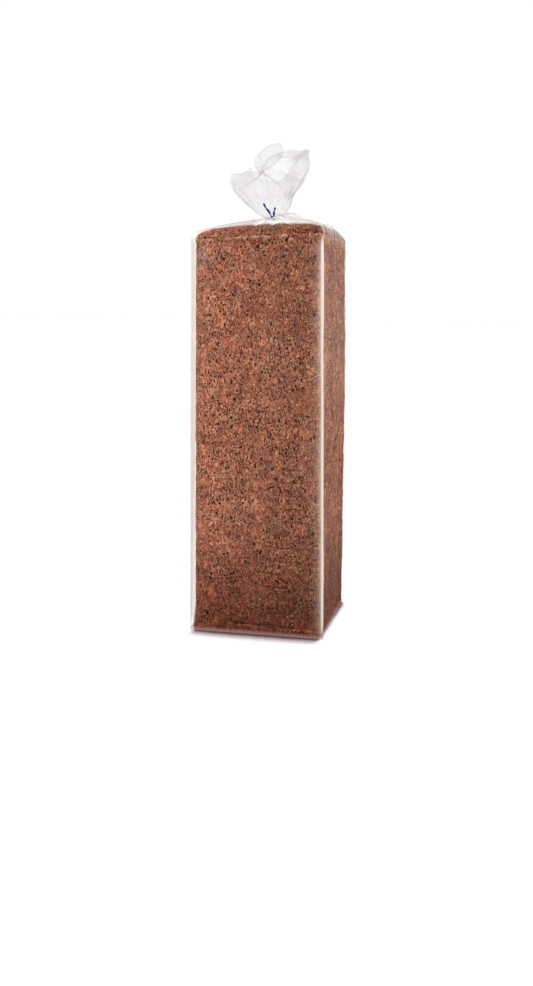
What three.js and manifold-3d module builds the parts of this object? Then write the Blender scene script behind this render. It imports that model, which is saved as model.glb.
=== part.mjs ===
// A dark tin loaf standing on end in its clear bag. The bag is drawn tight over the loaf, gathered
// above the top end, closed by a twist tie, and its mouth flares out above the tie.
// Millimetres, +Z up, origin on the standing surface under the middle of the loaf.
import * as THREE from "three";
import { mergeVertices } from "three/addons/utils/BufferGeometryUtils.js";
import Module from "manifold-3d";

// Driving sizes of the filled bag.
const SIDE = 118; // across the square section, outside the film
const CORNER_R = 6.3; // of the four upright edges
const BACK_SPREAD = 1.5; // the back is this much wider than the front, each side, at the top
const BACK_NARROW = 1.9; // and this much narrower at the foot
const SPREAD_TO_Z = 277; // above this height the back no longer widens
const EDGE_Z = 346; // mean height of the edges of the top end
const TOP_LEAN = 2.2; // the top edges are this much higher at the right and lower at the left
const DOME = 12; // rise of the top end from its edges to its middle
const DOME_FLATNESS = 2.2; // how flat its middle is: 2 is round, more is flatter
const DOME_FULLNESS = 0.6; // how full it is towards its edges: less is fuller
const FOOT_R = 3.5; // rounding between the sides and the foot
const SHOULDER_R = 6; // rounding between the sides and the top end
const SHOULDER_TURN = THREE.MathUtils.degToRad(78); // the dome takes over from the rounding there

// The gathered neck, the puff of slack film beside it and the pleats that run into it.
const NECK_R = 3;
const NECK_FOOT_R = 4.2; // where the dome's film turns up into the neck
const NECK_Z = 359.9; // middle of the tied stretch
const NECK_HALF = 1.4; // half of the tied stretch's height
const NECK_RIPPLE = 0.25;
const PLEATS = 18;
const PLEAT_DEPTH = 0.7;
const PUFF = { u: 17, v: -3, reach: 21, rise: 7.6 };

// The mouth: its rim as (u, v, z), u to the right and v away from a viewer who faces the flare. The
// rim has a low front lip, a tip at the left, one at the right and the highest one at the back.
const FLARE_TURN = THREE.MathUtils.degToRad(13.4); // of u from +X
const RIM = [
  [-36.2, -2, 399.5],
  [-28.6, -9, 399],
  [-15.8, -14, 404],
  [-12.3, -16, 396],
  [-4, -17, 392],
  [9, -16, 391.5],
  [17, -11, 404],
  [20, -8, 413],
  [34.8, 0, 423.6],
  [25, 6, 422.8],
  [13, 9, 423.2],
  [9.2, 10, 422.4],
  [5.3, 11, 430],
  [-5.4, 12, 426.4],
  [-14.3, 10, 418],
  [-16, 8, 407],
  [-28, 4, 401],
];
const FLARE_BULGE = { left: 0.24, right: 0.4 }; // share of its reach taken at once above the tie
const BULGE_WITHIN = 0.03; // share of its height over which it does so
const FLARE_FOLD = 0.06; // depth of the flutes half-way up, as a share of the reach
const MOUTH_FLOOR_Z = 384; // the middle of the mouth's hollow

// The twist tie: a flat strip round the neck, its ends twisted together once and spread in a V.
const TIE_WIDTH = 2;
const TIE_THICK = 0.8;
const TIE_GAP = 0.35; // between the strip and the film inside it
const TIE_LEFT_TIP = [-6.4, -13, 371.5];
const TIE_RIGHT_TIP = [3.4, -12.4, 368.4];
const TWIST_END = [0.8, -8.6, 359.3];

// Fineness.
const PER_SIDE = 12; // steps along one flat side
const PER_CORNER = 6; // steps round one upright edge
const FOOT_STEPS = 4;
const SIDE_STEPS = 8;
const SHOULDER_STEPS = 4;
const DOME_STEPS = 10;
const FLARE_AT = [0.02, 0.06, 0.12, 0.2, 0.3, 0.4, 0.5, 0.6, 0.7, 0.8, 0.9, 1]; // shares of its height
const MOUTH_AT = [0.85, 0.6, 0.3]; // shares of the rim's reach
const TIE_STEPS = 22;
const BAND_STEPS = 40;

const lerp = THREE.MathUtils.lerp;

// The flare's own directions, turned into the part's frame.
function placed(u, v, z) {
  return new THREE.Vector3(u, v, z).applyAxisAngle(new THREE.Vector3(0, 0, 1), FLARE_TURN);
}

// One ring of the square section, counter-clockwise from the middle of the +X side.
function squareRing(inset = 0) {
  const half = SIDE / 2 - inset;
  const radius = Math.max(CORNER_R - inset, 0.5 * CORNER_R);
  const flat = half - radius;
  const points = [];
  for (let side = 0; side < 4; side++) {
    const turn = (side * Math.PI) / 2;
    const local = [];
    for (let i = 0; i < PER_SIDE; i++) local.push([half, lerp(-flat, flat, i / PER_SIDE)]);
    for (let i = 0; i < PER_CORNER; i++) {
      const a = ((i / PER_CORNER) * Math.PI) / 2;
      local.push([flat + radius * Math.cos(a), flat + radius * Math.sin(a)]);
    }
    for (const [x, y] of local)
      points.push([x * Math.cos(turn) - y * Math.sin(turn), x * Math.sin(turn) + y * Math.cos(turn)]);
  }
  return points;
}

const SECTION = squareRing();
// Each place round the bag keeps this direction from the square section up into the neck.
const DIRECTION = SECTION.map(([x, y]) => Math.atan2(y, x));

// The back of the bag spreads sideways with height, from a narrow foot to a wide top.
function spreadBack(x, y, z) {
  const back = 0.5 + y / SIDE;
  const reach = lerp(-BACK_NARROW, BACK_SPREAD, THREE.MathUtils.smoothstep(z, 0, SPREAD_TO_Z));
  return x + reach * back * (x / (SIDE / 2));
}

function bodyPoint([x, y], z) {
  return new THREE.Vector3(spreadBack(x, y, z), y, z);
}

// Height of the top end: a pillow, nearly flat in the middle and falling to its edges.
function topZ(x, y) {
  const fall = (w) => 1 - Math.min(1, Math.abs(w) / (SIDE / 2)) ** DOME_FLATNESS;
  const lean = TOP_LEAN * (x / (SIDE / 2));
  return EDGE_Z + lean + DOME * (fall(x) * fall(y)) ** DOME_FULLNESS;
}

function puffRise(x, y) {
  const at = placed(PUFF.u, PUFF.v, 0);
  const away = Math.hypot(x - at.x, y - at.y) / PUFF.reach;
  return away < 1 ? PUFF.rise * (1 - away * away) ** 2 : 0;
}

// The foot: a flat face, then a quarter round up to the sides.
function footRings() {
  const rings = [1 / 3, 2 / 3].map((share) =>
    squareRing(FOOT_R).map(([x, y]) => bodyPoint([x * share, y * share], 0)),
  );
  for (let i = 0; i <= FOOT_STEPS; i++) {
    const a = ((i / FOOT_STEPS) * Math.PI) / 2;
    const inset = FOOT_R * (1 - Math.sin(a));
    const z = FOOT_R * (1 - Math.cos(a));
    rings.push(squareRing(inset).map((p) => bodyPoint(p, z)));
  }
  return rings;
}

function sideRings() {
  const rings = [];
  for (let i = 1; i <= SIDE_STEPS; i++) {
    const t = i / SIDE_STEPS;
    rings.push(SECTION.map(([x, y]) => bodyPoint([x, y], lerp(FOOT_R, topZ(x, y) - SHOULDER_R, t))));
  }
  return rings;
}

// The top end: a rounding off the sides, then the pillow, pleated and puffed near the neck.
function topRings() {
  const rings = [];
  for (let i = 1; i <= SHOULDER_STEPS; i++) {
    const a = (i / SHOULDER_STEPS) * SHOULDER_TURN;
    const ring = squareRing(SHOULDER_R * (1 - Math.cos(a)));
    rings.push(
      ring.map(([x, y], k) => {
        const foot = topZ(...SECTION[k]) - SHOULDER_R;
        return bodyPoint([x, y], foot + SHOULDER_R * Math.sin(a));
      }),
    );
  }
  const edge = rings.at(-1);
  const neckFoot = NECK_Z - NECK_HALF;
  for (let i = 1; i <= DOME_STEPS; i++) {
    const t = i / DOME_STEPS;
    rings.push(
      edge.map((p, k) => {
        const reach = lerp(1, NECK_FOOT_R / (SIDE / 2), t);
        const round = t ** 3; // the section turns from square to round near the neck
        const d = DIRECTION[k];
        const x = lerp(p.x * reach, (SIDE / 2) * reach * Math.cos(d), round);
        const y = lerp(p.y * reach, (SIDE / 2) * reach * Math.sin(d), round);
        if (i === DOME_STEPS) return new THREE.Vector3(x, y, neckFoot);
        const pleat = PLEAT_DEPTH * t * t * Math.cos(PLEATS * d);
        const offEdge = THREE.MathUtils.smoothstep(t, 0, 0.3);
        const z = topZ(x, y) + (1 - offEdge) * (p.z - topZ(p.x, p.y));
        return new THREE.Vector3(x, y, z + pleat + puffRise(x, y) * (1 - t ** 6));
      }),
    );
  }
  return rings;
}

function neckRings() {
  return [-NECK_HALF, 0, NECK_HALF].map((dz) =>
    DIRECTION.map((d) => {
      const r = NECK_R + NECK_RIPPLE * Math.cos(PLEATS * d);
      return new THREE.Vector3(r * Math.cos(d), r * Math.sin(d), NECK_Z + dz);
    }),
  );
}

// The rim as a closed curve, sampled so that each place round the neck meets a place on the rim.
function rimPoints() {
  const curve = new THREE.CatmullRomCurve3(
    RIM.map(([u, v, z]) => placed(u, v, z)),
    true,
    "centripetal",
  );
  const start = Math.atan2(RIM[0][1], RIM[0][0]) + FLARE_TURN;
  return DIRECTION.map((d) => {
    const turned = THREE.MathUtils.euclideanModulo(d - start, 2 * Math.PI) / (2 * Math.PI);
    return curve.getPointAt(turned);
  });
}

function flareRings() {
  const rim = rimPoints();
  const neckTop = neckRings().at(-1);
  const rings = [];
  for (const t of FLARE_AT) {
    const atOnce = (1 - Math.exp(-t / BULGE_WITHIN)) * (1 - t) ** 2;
    const fold = FLARE_FOLD * Math.sin(Math.PI * t);
    rings.push(
      rim.map((p, k) => {
        const foot = neckTop[k];
        const rightward = 0.5 + 0.5 * Math.cos(DIRECTION[k] - FLARE_TURN);
        const bulge = lerp(FLARE_BULGE.left, FLARE_BULGE.right, rightward) * atOnce;
        const spread = bulge + Math.sin((Math.PI / 2) * t);
        const wave = 1 + fold * Math.cos(PLEATS * DIRECTION[k]);
        return new THREE.Vector3(
          lerp(foot.x, p.x, spread * wave),
          lerp(foot.y, p.y, spread * wave),
          lerp(foot.z, p.z, t),
        );
      }),
    );
  }
  return rings;
}

// The mouth is a hollow inside its rim.
function mouthRings(rim) {
  const centre = rim.reduce((a, p) => a.add(p), new THREE.Vector3()).divideScalar(rim.length);
  return MOUTH_AT.map((s) =>
    rim.map((p) => {
      const q = centre.clone().lerp(p, s);
      q.z = lerp(MOUTH_FLOOR_Z, p.z, s ** 3);
      return q;
    }),
  );
}

// Joins rings of equal length into one closed geometry, shut by a fan at each end.
function loft(rings) {
  const count = rings[0].length;
  const positions = rings.flat().flatMap((p) => [p.x, p.y, p.z]);
  const index = [];
  for (let r = 0; r + 1 < rings.length; r++)
    for (let k = 0; k < count; k++) {
      const a = r * count + k;
      const b = r * count + ((k + 1) % count);
      index.push(a, b, b + count, a, b + count, a + count);
    }
  const ends = [
    [0, 1],
    [rings.length - 1, -1],
  ];
  for (const [r, side] of ends) {
    const middle = rings[r]
      .reduce((a, p) => a.add(p), new THREE.Vector3())
      .divideScalar(count);
    const centre = positions.length / 3;
    positions.push(middle.x, middle.y, middle.z);
    for (let k = 0; k < count; k++) {
      const a = r * count + k;
      const b = r * count + ((k + 1) % count);
      index.push(...(side > 0 ? [centre, b, a] : [centre, a, b]));
    }
  }
  const geometry = new THREE.BufferGeometry();
  geometry.setAttribute("position", new THREE.Float32BufferAttribute(positions, 3));
  geometry.setIndex(index);
  geometry.computeVertexNormals();
  return geometry;
}

function bagGeometry() {
  const flare = flareRings();
  return loft([
    ...footRings(),
    ...sideRings(),
    ...topRings(),
    ...neckRings(),
    ...flare,
    ...mouthRings(flare.at(-1)),
  ]);
}

// A strip of rounded section swept along a curve, turning about it by the given number of turns.
function strip(curve, steps, turns, startTurn) {
  const frames = curve.computeFrenetFrames(steps, false);
  const w = TIE_WIDTH / 2;
  const h = TIE_THICK / 2;
  const section = [
    [w, 0],
    [0.75 * w, 0.8 * h],
    [0, h],
    [-0.75 * w, 0.8 * h],
    [-w, 0],
    [-0.75 * w, -0.8 * h],
    [0, -h],
    [0.75 * w, -0.8 * h],
  ];
  const rings = [];
  for (let i = 0; i <= steps; i++) {
    const at = curve.getPointAt(i / steps);
    const turn = startTurn + (2 * Math.PI * turns * i) / steps;
    const wide = frames.normals[i].clone().applyAxisAngle(frames.tangents[i], turn);
    const thick = frames.tangents[i].clone().cross(wide);
    rings.push(
      section.map(([a, b]) => at.clone().addScaledVector(wide, a).addScaledVector(thick, b)),
    );
  }
  return loft(rings);
}

// The band round the neck, as a ring of the strip's own section.
function bandGeometry() {
  const middle = NECK_R + NECK_RIPPLE + TIE_GAP + TIE_THICK / 2;
  const w = TIE_WIDTH / 2;
  const h = TIE_THICK / 2;
  const profile = [
    [middle - h, -0.7 * w],
    [middle - 0.5 * h, -w],
    [middle + 0.5 * h, -w],
    [middle + h, -0.7 * w],
    [middle + h, 0.7 * w],
    [middle + 0.5 * h, w],
    [middle - 0.5 * h, w],
    [middle - h, 0.7 * w],
    [middle - h, -0.7 * w],
  ].map(([r, z]) => new THREE.Vector2(r, z));
  return new THREE.LatheGeometry(profile, BAND_STEPS).rotateX(Math.PI / 2).translate(0, 0, NECK_Z);
}

// One end of the tie: out of the band, half round the other end, then up to its tip.
function endCurve(side, tip) {
  const root = [side * 1.6, -3.7, NECK_Z];
  const crossing = [TWIST_END[0] - side * 0.5, -6.2, NECK_Z + side * 0.45];
  const leaving = [TWIST_END[0] + side * 0.7, TWIST_END[1], TWIST_END[2]];
  const rising = [
    lerp(leaving[0], tip[0], 0.35) - side * 0.2,
    lerp(leaving[1], tip[1], 0.35) - 0.5,
    lerp(leaving[2], tip[2], 0.3),
  ];
  return new THREE.CatmullRomCurve3(
    [root, crossing, leaving, rising, tip].map(([u, v, z]) => placed(u, v, z)),
  );
}

function asSolid(wasm, geometry) {
  const bare = geometry.clone();
  bare.deleteAttribute("normal");
  bare.deleteAttribute("uv");
  const merged = mergeVertices(bare, 1e-3);
  return new wasm.Manifold(
    new wasm.Mesh({
      numProp: 3,
      vertProperties: merged.attributes.position.array,
      triVerts: new Uint32Array(merged.index.array),
    }),
  );
}

function asGeometry(solid) {
  const mesh = solid.getMesh();
  const positions = [];
  for (let i = 0; i < mesh.numVert; i++)
    positions.push(...mesh.vertProperties.subarray(i * mesh.numProp, i * mesh.numProp + 3));
  const geometry = new THREE.BufferGeometry();
  geometry.setAttribute("position", new THREE.Float32BufferAttribute(positions, 3));
  geometry.setIndex(new THREE.BufferAttribute(mesh.triVerts, 1));
  geometry.computeVertexNormals();
  return geometry;
}

function tieGeometry(wasm) {
  const left = strip(endCurve(-1, TIE_LEFT_TIP), TIE_STEPS, 0.9, 0.4);
  const right = strip(endCurve(1, TIE_RIGHT_TIP), TIE_STEPS, -0.7, -0.4);
  return asGeometry(
    asSolid(wasm, bandGeometry()).add(asSolid(wasm, left)).add(asSolid(wasm, right)),
  );
}

const wasm = await Module();
wasm.setup();

const bagMaterial = new THREE.MeshStandardMaterial({ color: "#8f614c", roughness: 0.55, metalness: 0 });
const tieMaterial = new THREE.MeshStandardMaterial({ color: "#1c3f95", roughness: 0.45, metalness: 0 });

const bag = new THREE.Mesh(bagGeometry(), bagMaterial);
bag.name = "bagged_loaf";
const tie = new THREE.Mesh(tieGeometry(wasm), tieMaterial);
tie.name = "twist_tie";

const part = new THREE.Group();
part.add(bag, tie);

export default part;
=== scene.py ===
"""A dark tin loaf standing on end in a clear bag that a blue twist tie closes above it.

The bread is a real pitted surface, cut into slices that still stand as one loaf. The film is drawn
over it as its own surface, gathers under the tie and fans out above it. Lengths are millimetres
until a mesh is made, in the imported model's frame: +Z up, the front face towards -Y.
"""
import math
import bpy
import numpy as np
from mathutils import Euler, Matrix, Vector


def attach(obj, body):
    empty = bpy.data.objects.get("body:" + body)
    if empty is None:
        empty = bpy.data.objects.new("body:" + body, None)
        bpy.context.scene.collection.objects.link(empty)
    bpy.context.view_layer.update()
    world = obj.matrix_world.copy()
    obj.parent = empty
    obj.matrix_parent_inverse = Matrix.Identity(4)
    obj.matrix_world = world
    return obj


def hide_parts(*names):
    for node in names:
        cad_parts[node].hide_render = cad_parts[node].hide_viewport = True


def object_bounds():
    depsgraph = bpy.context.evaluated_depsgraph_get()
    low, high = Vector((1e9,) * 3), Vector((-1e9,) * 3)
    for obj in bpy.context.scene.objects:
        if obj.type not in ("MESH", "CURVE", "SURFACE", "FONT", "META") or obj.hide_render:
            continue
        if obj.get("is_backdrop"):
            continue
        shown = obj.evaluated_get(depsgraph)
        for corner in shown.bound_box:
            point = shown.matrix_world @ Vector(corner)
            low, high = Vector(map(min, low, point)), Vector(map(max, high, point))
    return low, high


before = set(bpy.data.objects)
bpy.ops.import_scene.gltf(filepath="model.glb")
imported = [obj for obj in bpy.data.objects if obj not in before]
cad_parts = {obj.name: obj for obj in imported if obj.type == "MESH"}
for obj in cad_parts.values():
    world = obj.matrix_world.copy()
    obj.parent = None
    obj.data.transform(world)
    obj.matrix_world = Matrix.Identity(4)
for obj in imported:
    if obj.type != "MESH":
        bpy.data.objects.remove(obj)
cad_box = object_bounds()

MM = 0.001

# ---- driving dimensions

# The film's box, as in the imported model.
FILM_LEFT = -58.0
FILM_RIGHT = 59.0
FILM_FRONT = -58.8
FILM_BACK = 58.8
FILM_CORNER_R = 1.3
FILM_FOOT_R = 0.8
FILM_SHOULDER = (8.5, 5.0)  # how far it bends in at the sides, and at the front and back
FILM_BACK_SPREAD = (1.0, -3.0)  # how far the back right edge stands out at the top and the foot
FILM_STEP = 1.1  # its mesh size along the section
FILM_LEVELS = 118  # rows up its sides
FILM_BENDS = 12  # rows over its shoulder
FILM_RINGS = 70  # rows from the shoulder in to the neck
TOP_PLEATS = 17

# The top end, a pillow whose shape the film and the bread share.
HALF = 59.0  # half its width
EDGE_Z = 346.0
TOP_LEAN = 2.2  # how much higher its right edge lies than its middle line
DOME = 12.0
DOME_FLATNESS = 2.2
DOME_FULLNESS = 0.6
SIDE_DROP = 2.8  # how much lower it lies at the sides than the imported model's dome
SIDE_DROP_POWER = 8
SHOULDER_TURN = math.radians(80)

# The loaf inside the film.
LOAF_LEFT = -54.9
LOAF_RIGHT = 56.4
LOAF_FRONT = -57.4
LOAF_BACK = 57.6
LOAF_CORNER_R = 2.2
LOAF_EASE = 1.2  # how far the faces fall back towards the front corners
LOAF_EASE_REACH = 9.0
LOAF_SHOULDER = (7.5, 4.2)
LOAF_BACK_SPREAD = (3.2, -0.8)
LOAF_GAP = 2.0  # under the film at the edge of the top
LOAF_FOOT_Z = 0.4
LOAF_FOOT_R = 1.6
LOAF_FOOT_BULGE = 3.6  # how far its foot spreads to the left
FOOT_REACH = 15.0  # the height over which that dies away, and the left side's film draws in
FOOT_RINGS = 14  # rows over the underside, of the bread and of the film
LOAF_STEP = 0.74  # its mesh size along the section

# The cuts between its slices.
HEEL_LOW_Z = 8.0
HEEL_HIGH_Z = 340.6
CUT_MIDDLE_Z = (HEEL_HIGH_Z + HEEL_LOW_Z) / 2
CUT_SPAN = HEEL_HIGH_Z - HEEL_LOW_Z
CUT_FAN = 0.035  # slope of the lowest and highest cuts, down and up to the right
CUT_GAP = 0.3  # from a cut to the mesh rows on each side of it
SLICES = 30
SLICE_ROWS = 15
SLICE_SHIFT = 0.09  # how far a slice sits out of line
PIECE_CUTS = (0, 8, 15, 23, 30)  # the cuts where one mesh of slices ends and the next begins

# The neck, and the flare above it.
NECK_Z = 359.9
NECK_HALF = 1.4
NECK_R = 3.0
NECK_PLEATS = 23
FLARE_PLEATS = 11
FLARE_COLUMNS = 600
FLARE_LEVELS = 84
VIEW_TURN = math.radians(13.4)  # the camera's turn about the upright axis, and the flare's

# The mouth of the bag, in the flare's own directions: right, away and up, as the camera sees
# them. It runs from the left tip along the low front edge to the right tip, and back along the
# high edges behind, which fold over each other.
MOUTH = [
    (-36.2, -2.0, 399.5), (-28.6, -8.0, 399.2), (-21.0, -12.5, 402.0), (-15.6, -14.0, 405.5),
    (-12.6, -16.0, 397.8), (-5.3, -17.0, 394.1), (9.2, -16.0, 392.8), (17.4, -11.5, 405.0),
    (20.1, -9.0, 414.1), (34.8, -2.0, 423.6), (26.1, 4.0, 422.0), (19.9, 6.0, 422.8),
    (9.2, 6.5, 420.9), (-2.0, 5.0, 415.2), (-12.6, 4.5, 408.4), (-16.2, 8.0, 411.5),
    (-14.1, 9.5, 416.8), (-10.4, 10.5, 421.5), (-5.1, 11.5, 425.2), (6.4, 12.5, 429.6),
    (6.9, 12.7, 429.4), (10.4, 13.8, 421.6), (2.0, 15.0, 412.0), (-8.0, 14.0, 406.5),
    (-15.6, 11.0, 405.9), (-22.4, 8.0, 404.2), (-28.6, 4.5, 400.4),
]

# The corner of the mouth that is folded over at the right tip: its free edge, tip first.
CUFF = [
    (34.8, -2.6, 423.4), (28.6, -4.5, 421.6), (24.3, -8.5, 414.9), (20.0, -11.5, 404.2),
]

# The twist tie: its two ends and a short loose end, in the flare's directions.
TIE_WIDTH = 1.8
TIE_THICK = 0.7
TIE_BAND_R = NECK_R + 0.8
TIE_LEFT = [
    (-3.2, -2.4, 360.2), (0.4, -6.4, 359.8), (1.4, -8.6, 359.9), (0.0, -9.6, 362.2),
    (-1.8, -10.6, 365.5), (-4.0, -11.6, 368.0), (-5.3, -12.4, 370.2), (-6.3, -13.0, 372.4),
]
TIE_RIGHT = [
    (3.2, -2.4, 359.8), (2.4, -6.2, 359.5), (1.8, -8.4, 359.6), (2.8, -9.4, 361.8),
    (2.9, -10.6, 364.2), (3.5, -11.6, 366.6), (3.9, -12.4, 368.8),
]
TIE_LOOSE = [
    (0.6, -9.0, 358.6), (-0.6, -12.4, 358.3), (-2.2, -14.2, 358.0), (-3.8, -14.6, 357.9),
]

# ---- colours

WHITE = (1.0, 1.0, 1.0)
# The crust, from the bottoms of its pores to its raised edges: dark at the bottoms as painted shade
# and pale on the edges as painted highlight, over the crust's own red-brown.
CRUST_WITH_RELIEF_SHADE = (
    (0.31, (0.045, 0.003, 0.003)),
    (0.41, (0.16, 0.021, 0.012)),
    (0.50, (0.355, 0.099, 0.051)),
    (0.57, (0.48, 0.17, 0.087)),
    (0.67, (0.88, 0.5, 0.3)),
)
# Painted shade in the pits and in the torn corner's crack; the cuts' dark seams take it too.
PIT_SHADE = (0.045, 0.004, 0.003)
# A painted highlight on the rims round the pits.
PIT_RIM_HIGHLIGHT = (0.8, 0.42, 0.24)
CRUMB_LOW = (0.62, 0.19, 0.07)
CRUMB_HIGH = (1.0, 0.56, 0.32)
GRAIN_PALE = (0.8, 0.58, 0.42)
GRAIN_ORANGE = (0.72, 0.25, 0.05)
FILM_SINGLE = (0.985, 0.98, 0.978)  # what one clear layer lets through
FILM_DOUBLED = (0.83, 0.82, 0.815)  # and what folded, creased film does
MILK_GREY = (0.8, 0.79, 0.79)  # creased film by itself
MILK_BREAD_GLOW = (0.8, 0.7, 0.63)  # film close to the bread, with the bread's light painted into it as a warm glow
MILK_FOOT_GLOW = (0.8, 0.43, 0.39)  # film drawn tight under the foot, with the bread's pink light painted into it
TIE_NAVY = (0.001, 0.006, 0.07)
TIE_BLUE = (0.004, 0.08, 0.5)
# A painted pale highlight on the short loose end.
TIE_HIGHLIGHT_BLUE = (0.12, 0.38, 0.8)
# The suns turn the floor white. Its own colour shows only in the shadow.
FLOOR = (0.12, 0.066, 0.069)
SUN = (0.55, 1.0, 0.96)

# ---- numbers

LATTICE = np.array(Euler((0.5, 0.3, 0.8)).to_matrix())  # keeps noise off the object's own axes


def rise(x, low, high):
    """0 up to low, 1 from high on, and smooth between them."""
    t = np.clip((x - low) / (high - low), 0, 1)
    return t * t * (3 - 2 * t)


def bell(x, width):
    """1 where x is 0, and almost 0 at twice the width."""
    return np.exp(-((x / width) ** 2))


def direction_of(vectors):
    """The vectors, each made one long."""
    return vectors / np.linalg.norm(vectors, axis=-1, keepdims=True)


def scrambled(cell, seed):
    """A random whole number of 32 bits for each whole-numbered place."""
    with np.errstate(over="ignore"):
        u = cell.astype(np.uint32)
        h = u[:, 0] * np.uint32(73856093)
        h ^= u[:, 1] * np.uint32(19349663)
        h ^= u[:, 2] * np.uint32(83492791)
        h ^= np.uint32((seed + 1) * 2654435761 % 2**32)
        h = (h ^ (h >> np.uint32(15))) * np.uint32(2246822519)
        h = (h ^ (h >> np.uint32(13))) * np.uint32(3266489917)
        h ^= h >> np.uint32(16)
    return h


def grain(points, size, seed):
    """Smooth noise from -1 to 1 whose lumps are about size millimetres across."""
    p = points @ LATTICE / size
    cell = np.floor(p).astype(np.int64)
    f = p - cell
    f = f * f * (3 - 2 * f)
    total = np.zeros(len(points))
    for corner in np.ndindex(2, 2, 2):
        weight = np.prod(np.where(corner, f, 1 - f), axis=1)
        total += weight * scrambled(cell + corner, seed) / 2**32
    return total * 2 - 1


def nearest_seed(points, seed):
    """How far the nearest of a scatter of seeds is, one to a unit cell, and that seed's number."""
    cell = np.floor(points).astype(np.int64)
    best = np.full(len(points), np.inf)
    pick = np.zeros(len(points))
    for step in np.ndindex(3, 3, 3):
        near = cell + step - 1
        h = scrambled(near, seed)
        place = np.column_stack([h & 1023, (h >> 10) & 1023, (h >> 20) & 1023]) / 1023
        away = ((near + place - points) ** 2).sum(axis=1)
        closer = away < best
        best = np.where(closer, away, best)
        pick = np.where(closer, scrambled(near, seed + 1) / 2**32, pick)
    return np.sqrt(best), pick


def catmull_rom(a, b, c, d, count):
    """Places from the second knot up to the third on the curve through four knots."""
    tb = np.linalg.norm(b - a) ** 0.5
    tc = tb + np.linalg.norm(c - b) ** 0.5
    td = tc + np.linalg.norm(d - c) ** 0.5
    t = np.linspace(tb, tc, count, endpoint=False)[:, None]
    ab = (tb - t) / tb * a + t / tb * b
    bc = (tc - t) / (tc - tb) * b + (t - tb) / (tc - tb) * c
    cd = (td - t) / (td - tc) * c + (t - tc) / (td - tc) * d
    left = (tc - t) / tc * ab + t / tc * bc
    right = (td - t) / (td - tb) * bc + (t - tb) / (td - tb) * cd
    return (tc - t) / (tc - tb) * left + (t - tb) / (tc - tb) * right


def closed_curve(knots, count):
    """Evenly spaced places on a closed curve through the knots."""
    in_turn = [np.roll(np.array(knots), 1 - k, axis=0) for k in range(4)]
    spans = [catmull_rom(*four, 12) for four in zip(*in_turn)]
    fine = np.concatenate([*spans, spans[0][:1]])
    length = np.concatenate([[0], np.cumsum(np.linalg.norm(np.diff(fine, axis=0), axis=1))])
    at = np.arange(count) / count * length[-1]
    return np.column_stack([np.interp(at, length, fine[:, k]) for k in range(3)])


def open_curve(knots, count):
    """Places on a smooth curve through the knots, from the first to the last."""
    p = np.array(knots)
    at = np.linspace(0, len(p) - 1, count)
    i = np.minimum(at.astype(int), len(p) - 2)
    t = (at - i)[:, None]
    slope = np.gradient(p, axis=0)
    rest = 1 - t
    return (
        (1 + 2 * t) * rest**2 * p[i]
        + t * rest**2 * slope[i]
        + t**2 * (3 - 2 * t) * p[i + 1]
        - t**2 * rest * slope[i + 1]
    )


# ---- shared shapes


def rounded_box(left, right, front, back, radius, step):
    """Places round a box with rounded corners, counter-clockwise from above, from its front left.

    Gives x and y, the way out, and how far each place lies along the outline from a corner.
    """
    corners = [(left, front), (right, front), (right, back), (left, back)]
    centres = [(x - math.copysign(radius, x), y - math.copysign(radius, y)) for x, y in corners]
    bend = max(3, round(radius * math.pi / 2 / step))
    places = []
    for i, (cx, cy) in enumerate(centres):
        start = math.radians(180 + 90 * i)
        for j in range(bend):
            a = start + math.pi / 2 * j / bend
            c, s = math.cos(a), math.sin(a)
            places.append((cx + radius * c, cy + radius * s, c, s, 0))
        a = start + math.pi / 2
        c, s = math.cos(a), math.sin(a)
        nx, ny = centres[(i + 1) % 4]
        length = math.hypot(nx - cx, ny - cy)
        count = round(length / step)
        for j in range(count):
            t = j / count
            x = cx + t * (nx - cx) + radius * c
            y = cy + t * (ny - cy) + radius * s
            places.append((x, y, c, s, min(t, 1 - t) * length))
    places = np.array(places)
    return places[:, :2], places[:, 2:4], places[:, 4]


def back_spread(x, y, z, spread):
    """Places moved out at the right side's back edge, by one amount at the top and one at the foot."""
    z = np.broadcast_to(z, np.shape(x))
    at_top, at_foot = spread
    reach = at_foot + (at_top - at_foot) * rise(z, -40, 240)
    back = np.clip(0.5 + y / (2 * HALF), 0, 1)
    return np.column_stack([x + reach * back * np.clip(x / HALF, 0, 1), y, z])


def drawn_in(xy, inset, roundness=0.0, squareness=6.0):
    """An outline drawn in towards its middle, its corners rounded off as much as asked."""
    low, high = xy.min(axis=0), xy.max(axis=0)
    middle, half = (low + high) / 2, (high - low) / 2
    unit = (xy - middle) / half
    over = (np.abs(unit) ** squareness).sum(axis=1) ** (1 / squareness)
    unit = unit * (1 + roundness * (1 / over - 1))[:, None]
    return middle + unit * (half - inset)


def loaf_place(x, y, z):
    """Where a place of the straight loaf comes to lie."""
    left = np.clip(-x / HALF, 0, 1) ** 4
    x = x - LOAF_FOOT_BULGE * left * bell(z, FOOT_REACH)
    return back_spread(x, y, z, LOAF_BACK_SPREAD)


def film_place(x, y, z):
    """Where a place of the straight film comes to lie."""
    return back_spread(x, y, z, FILM_BACK_SPREAD)


def top_z(x, y):
    """The top end: nearly flat in the middle and falling to its edges."""
    fall_x = 1 - np.minimum(1, np.abs(x) / HALF) ** DOME_FLATNESS
    fall_y = 1 - np.minimum(1, np.abs(y) / HALF) ** DOME_FLATNESS
    drop = SIDE_DROP * (x / HALF) ** SIDE_DROP_POWER
    return EDGE_Z + TOP_LEAN * x / HALF + DOME * (fall_x * fall_y) ** DOME_FULLNESS - drop


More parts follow.
